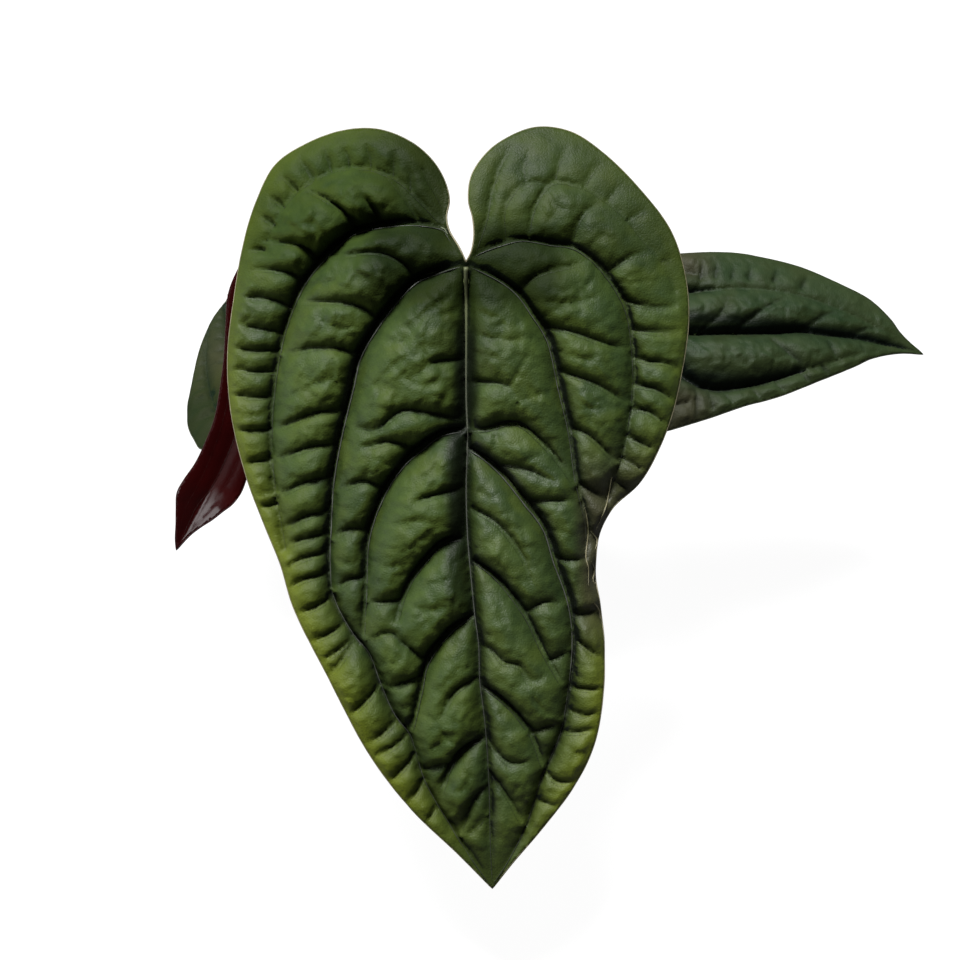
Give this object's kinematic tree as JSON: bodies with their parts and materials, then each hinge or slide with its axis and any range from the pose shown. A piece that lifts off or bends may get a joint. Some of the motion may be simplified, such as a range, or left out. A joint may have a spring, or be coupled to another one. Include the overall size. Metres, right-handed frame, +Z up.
{
  "type": "potted anthurium hybrid",
  "caption": "Potted foliage plant with large heart-shaped quilted green leaves and a young red leaf on long petioles, in a plain nursery pot of chunky soil.",
  "frame": {"origin": "centre of the pot's underside", "axes": "+Z up, -Y toward the front where the largest leaf hangs, +X to the right of someone who looks at that leaf"},
  "size_m": [0.3392, 0.3851, 0.2721],
  "materials": {
    "pot_plastic": "satin",
    "soil": "matte",
    "stem": "matte",
    "petiole": "satin",
    "leaf_green": "satin",
    "leaf_grey_green": "satin",
    "leaf_red": "gloss"
  },
  "bodies": {
    "root": {"pot": "pot_plastic", "soil": "soil", "stem_and_roots": "stem", "petiole_front": "petiole", "petiole_right": "petiole", "petiole_back": "petiole", "petiole_young": "petiole", "blade_front": "leaf_green", "blade_right": "leaf_green", "blade_back": "leaf_grey_green", "blade_young": "leaf_red"}
  },
  "joints": []
}
